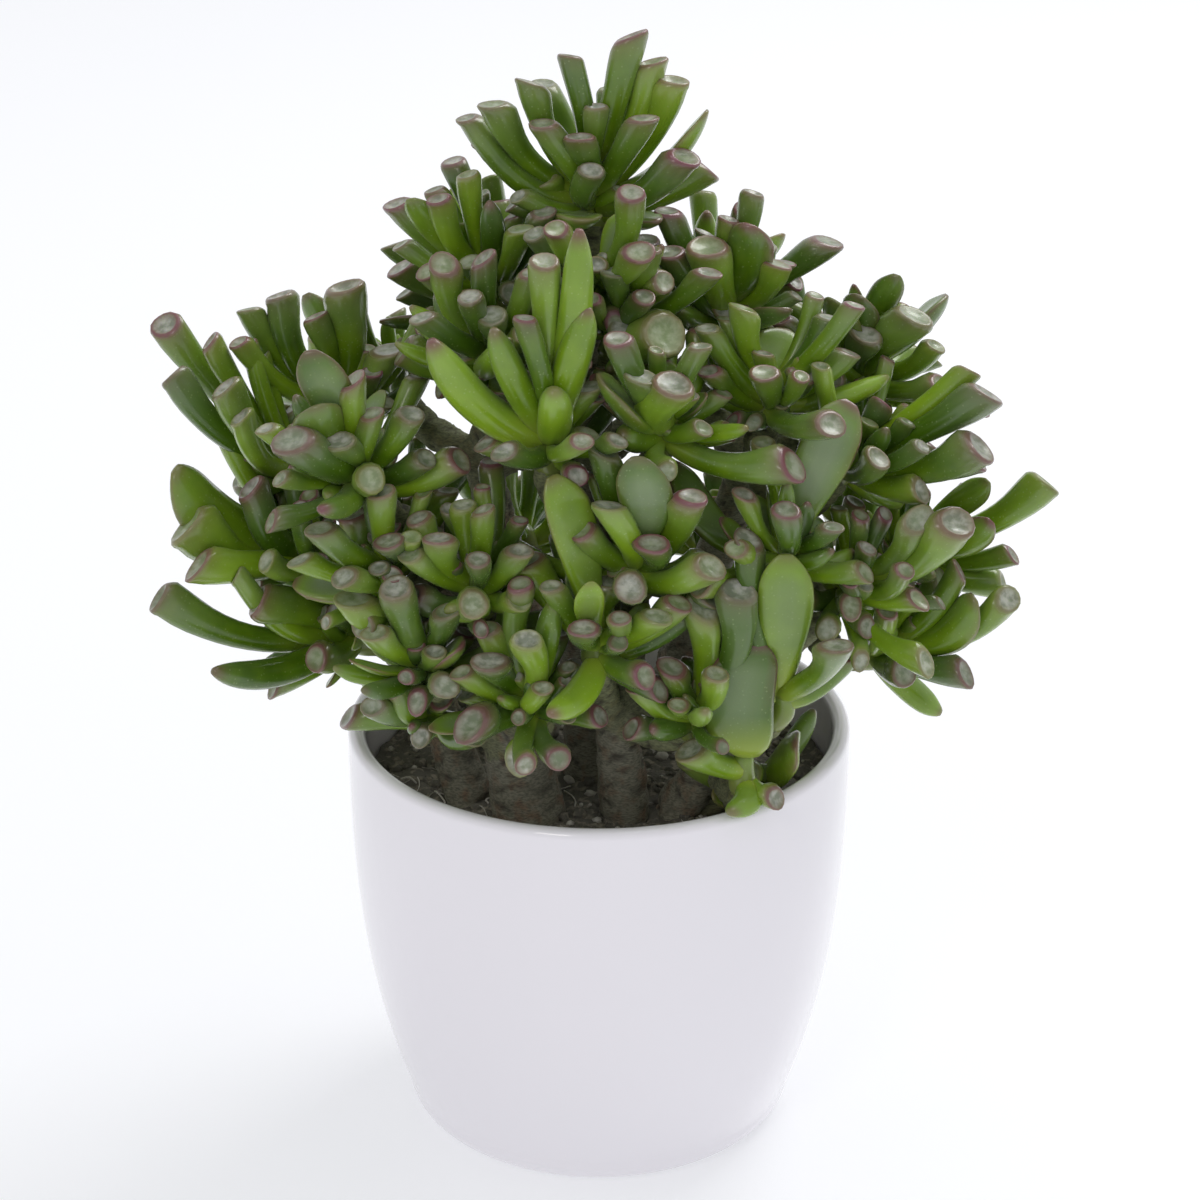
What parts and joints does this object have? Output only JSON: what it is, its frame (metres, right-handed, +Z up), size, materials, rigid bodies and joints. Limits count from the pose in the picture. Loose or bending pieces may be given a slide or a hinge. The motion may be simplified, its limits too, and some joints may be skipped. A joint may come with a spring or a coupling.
{
  "type": "potted jade plant",
  "caption": "Bushy trumpet-leaf jade plant on thick woody stems, in dark soil inside a plain white glazed round cover pot.",
  "frame": {"origin": "middle of the pot's flat underside", "axes": "+Z up out of the pot, -Y towards the side the plant is seen from"},
  "size_m": [0.2457, 0.1804, 0.3237],
  "materials": {
    "pot_glaze": "gloss",
    "potting_soil": "matte",
    "stem_bark": "matte",
    "jade_leaf": "satin"
  },
  "bodies": {
    "root": {"pot": "pot_glaze", "soil": "potting_soil", "stem_large": "stem_bark", "stem_left": "stem_bark", "stem_front": "stem_bark", "stem_right": "stem_bark", "stem_middle": "stem_bark", "stem_back_right": "stem_bark", "stem_back_left": "stem_bark", "shoot_crown": "jade_leaf", "shoot_collar": "jade_leaf", "shoot_upper_left": "jade_leaf", "shoot_upper_left_front": "jade_leaf", "shoot_centre_long": "jade_leaf", "shoot_centre_high": "jade_leaf", "shoot_upper_right": "jade_leaf", "shoot_centre_right": "jade_leaf", "shoot_right_front_high": "jade_leaf", "shoot_right_high": "jade_leaf", "shoot_right_out": "jade_leaf", "shoot_right_far": "jade_leaf", "shoot_right_low": "jade_leaf", "shoot_right_lowest": "jade_leaf", "shoot_front_right": "jade_leaf", "shoot_front_oval": "jade_leaf", "shoot_rim_right": "jade_leaf", "shoot_right_front_mid": "jade_leaf", "shoot_front_centre_high": "jade_leaf", "shoot_front_centre": "jade_leaf", "shoot_front_left_low": "jade_leaf", "shoot_front_right_low": "jade_leaf", "shoot_front_left": "jade_leaf", "shoot_left_front_low": "jade_leaf", "shoot_rim_left": "jade_leaf", "shoot_left_high": "jade_leaf", "shoot_left_out": "jade_leaf", "shoot_left_front_high": "jade_leaf", "shoot_left_far": "jade_leaf", "shoot_left_low": "jade_leaf", "shoot_left_front_mid": "jade_leaf", "shoot_back_upper_left": "jade_leaf", "shoot_back_upper_right": "jade_leaf", "shoot_back_left_high": "jade_leaf", "shoot_back_right_high": "jade_leaf", "shoot_back_middle": "jade_leaf", "shoot_back_left": "jade_leaf", "shoot_back_right": "jade_leaf", "shoot_back_low_left": "jade_leaf", "shoot_back_low_right": "jade_leaf", "shoot_left_side": "jade_leaf"}
  },
  "joints": []
}
